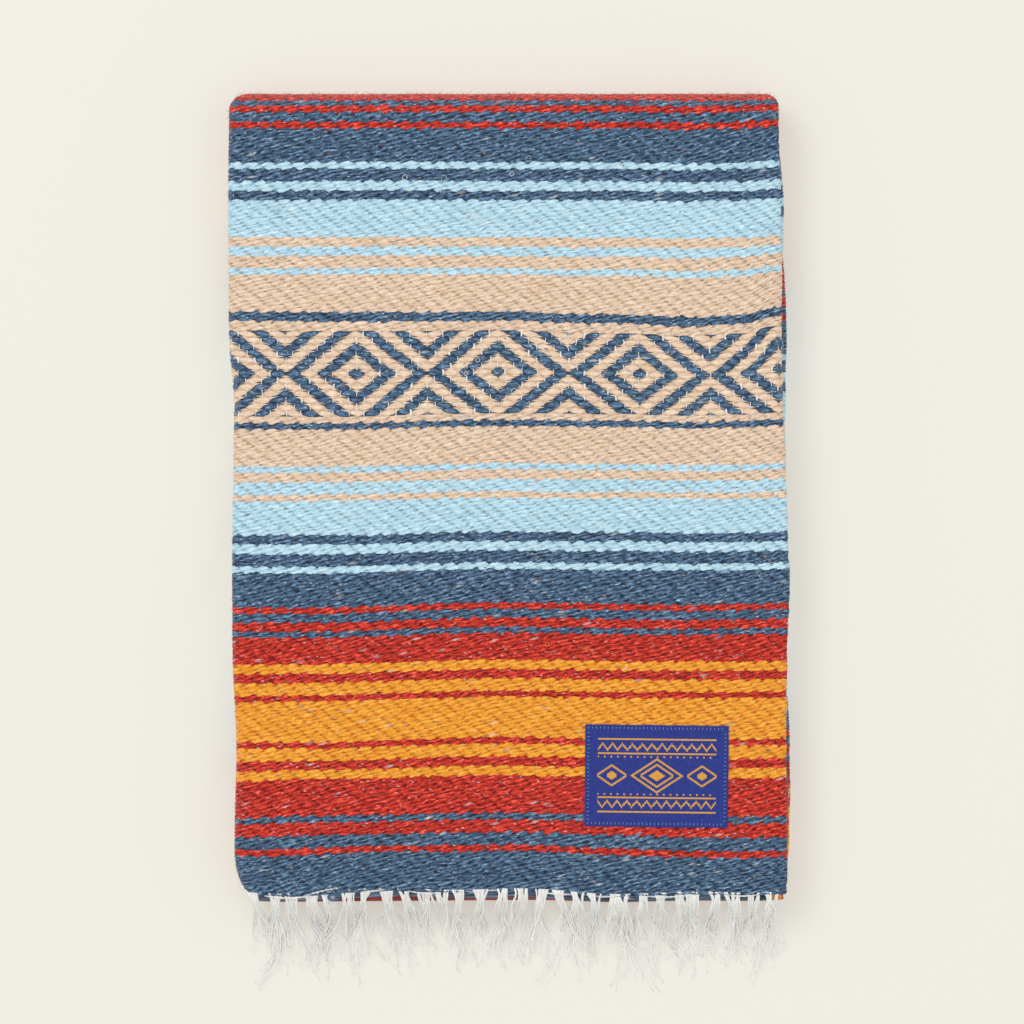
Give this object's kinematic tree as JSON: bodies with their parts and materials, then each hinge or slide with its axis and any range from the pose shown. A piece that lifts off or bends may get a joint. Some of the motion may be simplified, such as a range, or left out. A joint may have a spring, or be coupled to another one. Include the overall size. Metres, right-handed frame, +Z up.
{
  "type": "folded mexican serape blanket",
  "caption": "Mexican serape (falsa blanket) folded flat in thirds both ways: striped twill with a diamond band, loose warp fringe at the lower hem and a sewn woven label.",
  "frame": {"origin": "middle of the whole outline, fringe included, on the surface the blanket lies on", "axes": "+X to the right across the stripes' length, towards the selvedge side, +Y away from the fringe towards the rolled upper fold, +Z up out of the top face"},
  "size_m": [0.4318, 0.6942, 0.0353],
  "materials": {
    "striped_cloth": "matt recycled acrylic and cotton twill, weft-faced stripes of denim blue, light blue, tan, red and ochre",
    "folded_cloth": "the same striped twill seen at the folds, selvedges and underside",
    "fringe_cotton": "soft unbleached cotton warp ends, loosely twisted",
    "label_weave": "fine damask patch, royal blue with gold, slightly lustrous"
  },
  "bodies": {
    "root": {"top_layer": "striped_cloth", "folded_layers": "folded_cloth", "fringe": "fringe_cotton", "woven_label": "label_weave"}
  },
  "joints": []
}
